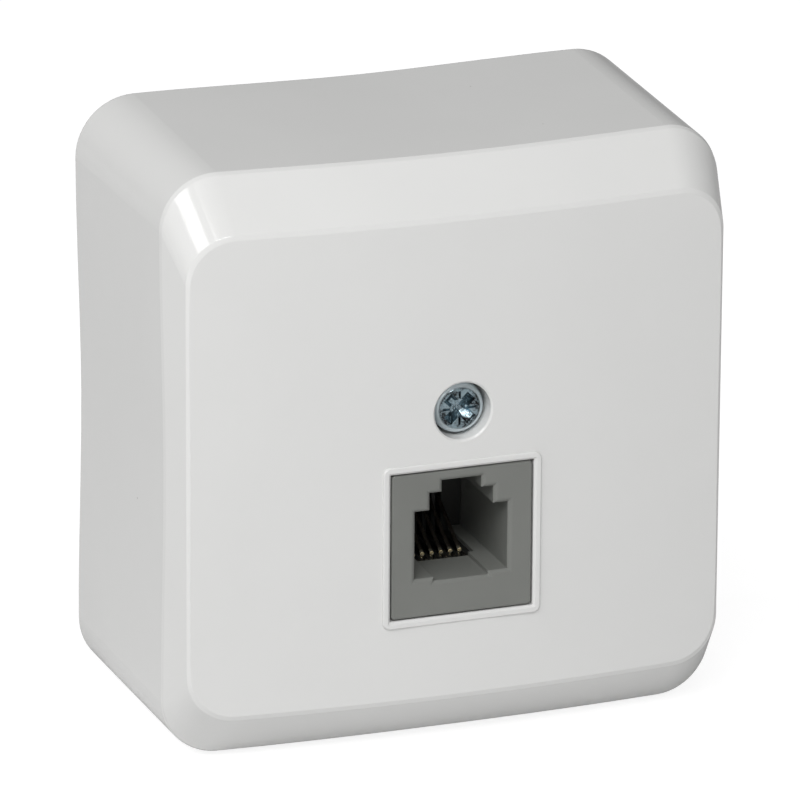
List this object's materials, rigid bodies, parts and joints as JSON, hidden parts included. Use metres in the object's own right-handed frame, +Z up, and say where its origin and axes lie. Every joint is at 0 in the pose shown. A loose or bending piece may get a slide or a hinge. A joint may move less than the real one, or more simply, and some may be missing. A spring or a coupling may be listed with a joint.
{
  "type": "surface mount jack box",
  "caption": "Square wall-mounted telephone outlet with a domed cover, one modular jack and one centre screw, with screw terminals on a board inside.",
  "frame": {"origin": "centre of the back face, on the wall plane", "axes": "+X to the right seen from the front, +Z up, the front faces -Y and the wall is on the +Y side"},
  "size_m": [0.061, 0.0333, 0.0632],
  "materials": {
    "cover_white": "satin",
    "base_white": "matt",
    "jack_grey": "satin",
    "comb_grey": "matt",
    "contact_gold": "polished",
    "screw_zinc": "zinc-plated",
    "spring_steel": "plain",
    "insert_brass": "machined",
    "board_green": "solder-masked",
    "block_grey": "matt",
    "terminal_tin": "tin-plated"
  },
  "bodies": {
    "base": {"base_plate": "base_white", "screw_insert": "insert_brass", "circuit_board": "board_green", "board_screw_left": "screw_zinc", "board_screw_right": "screw_zinc", "jack_housing": "jack_grey", "jack_insert": "comb_grey", "terminal_block_left": "block_grey", "terminal_block_right": "block_grey", "contact_wire_1": "contact_gold", "contact_wire_2": "contact_gold", "contact_wire_3": "contact_gold", "contact_wire_4": "contact_gold", "contact_wire_5": "contact_gold", "contact_wire_6": "contact_gold", "terminal_pin_1": "terminal_tin", "terminal_pin_2": "terminal_tin", "terminal_pin_3": "terminal_tin", "terminal_pin_4": "terminal_tin", "terminal_pin_5": "terminal_tin", "terminal_pin_6": "terminal_tin"},
    "cover": {"cover": "cover_white"},
    "cover_screw_washer": {"cover_screw_washer": "spring_steel"},
    "cover_screw": {"cover_screw": "screw_zinc"},
    "terminal_screw_1": {"terminal_screw_1": "screw_zinc"},
    "clamp_cage_1": {"clamp_cage_1": "terminal_tin"},
    "terminal_screw_2": {"terminal_screw_2": "screw_zinc"},
    "clamp_cage_2": {"clamp_cage_2": "terminal_tin"},
    "terminal_screw_3": {"terminal_screw_3": "screw_zinc"},
    "clamp_cage_3": {"clamp_cage_3": "terminal_tin"},
    "terminal_screw_4": {"terminal_screw_4": "screw_zinc"},
    "clamp_cage_4": {"clamp_cage_4": "terminal_tin"},
    "terminal_screw_5": {"terminal_screw_5": "screw_zinc"},
    "clamp_cage_5": {"clamp_cage_5": "terminal_tin"},
    "terminal_screw_6": {"terminal_screw_6": "screw_zinc"},
    "clamp_cage_6": {"clamp_cage_6": "terminal_tin"}
  },
  "joints": [
    {"name": "cover_off", "type": "slide", "parent": "base", "child": "cover", "axis": [0, -1, 0], "range_m": [0, 0.036]},
    {"name": "cover_screw_lift", "type": "slide", "parent": "cover", "child": "cover_screw_washer", "axis": [0, -1, 0], "range_m": [0, 0.009]},
    {"name": "cover_screw_turn", "type": "hinge", "parent": "cover_screw_washer", "child": "cover_screw", "pos_m": [0, -0.0293, 0.00514], "axis": [0, -1, 0], "range_deg": [0, 6480]},
    {"name": "terminal_screw_1_turn", "type": "hinge", "parent": "base", "child": "terminal_screw_1", "pos_m": [-0.016, -0.0236, -0.00385], "axis": [0, 1, 0], "range_deg": [0, 1620]},
    {"name": "clamp_cage_1_rise", "type": "slide", "parent": "base", "child": "clamp_cage_1", "axis": [0, -1, 0], "range_m": [0, 0.0018]},
    {"name": "terminal_screw_2_turn", "type": "hinge", "parent": "base", "child": "terminal_screw_2", "pos_m": [-0.016, -0.0236, -0.00885], "axis": [0, 1, 0], "range_deg": [0, 1620]},
    {"name": "clamp_cage_2_rise", "type": "slide", "parent": "base", "child": "clamp_cage_2", "axis": [0, -1, 0], "range_m": [0, 0.0018]},
    {"name": "terminal_screw_3_turn", "type": "hinge", "parent": "base", "child": "terminal_screw_3", "pos_m": [-0.016, -0.0236, -0.01385], "axis": [0, 1, 0], "range_deg": [0, 1620]},
    {"name": "clamp_cage_3_rise", "type": "slide", "parent": "base", "child": "clamp_cage_3", "axis": [0, -1, 0], "range_m": [0, 0.0018]},
    {"name": "terminal_screw_4_turn", "type": "hinge", "parent": "base", "child": "terminal_screw_4", "pos_m": [0.016, -0.0236, -0.00385], "axis": [0, 1, 0], "range_deg": [0, 1620]},
    {"name": "clamp_cage_4_rise", "type": "slide", "parent": "base", "child": "clamp_cage_4", "axis": [0, -1, 0], "range_m": [0, 0.0018]},
    {"name": "terminal_screw_5_turn", "type": "hinge", "parent": "base", "child": "terminal_screw_5", "pos_m": [0.016, -0.0236, -0.00885], "axis": [0, 1, 0], "range_deg": [0, 1620]},
    {"name": "clamp_cage_5_rise", "type": "slide", "parent": "base", "child": "clamp_cage_5", "axis": [0, -1, 0], "range_m": [0, 0.0018]},
    {"name": "terminal_screw_6_turn", "type": "hinge", "parent": "base", "child": "terminal_screw_6", "pos_m": [0.016, -0.0236, -0.01385], "axis": [0, 1, 0], "range_deg": [0, 1620]},
    {"name": "clamp_cage_6_rise", "type": "slide", "parent": "base", "child": "clamp_cage_6", "axis": [0, -1, 0], "range_m": [0, 0.0018]}
  ],
  "couplings": [
    {"joint": "cover_screw_turn", "follows": "cover_screw_lift", "rad_per_m": 12566},
    {"joint": "terminal_screw_1_turn", "follows": "clamp_cage_1_rise", "rad_per_m": 15708},
    {"joint": "terminal_screw_2_turn", "follows": "clamp_cage_2_rise", "rad_per_m": 15708},
    {"joint": "terminal_screw_3_turn", "follows": "clamp_cage_3_rise", "rad_per_m": 15708},
    {"joint": "terminal_screw_4_turn", "follows": "clamp_cage_4_rise", "rad_per_m": 15708},
    {"joint": "terminal_screw_5_turn", "follows": "clamp_cage_5_rise", "rad_per_m": 15708},
    {"joint": "terminal_screw_6_turn", "follows": "clamp_cage_6_rise", "rad_per_m": 15708}
  ]
}
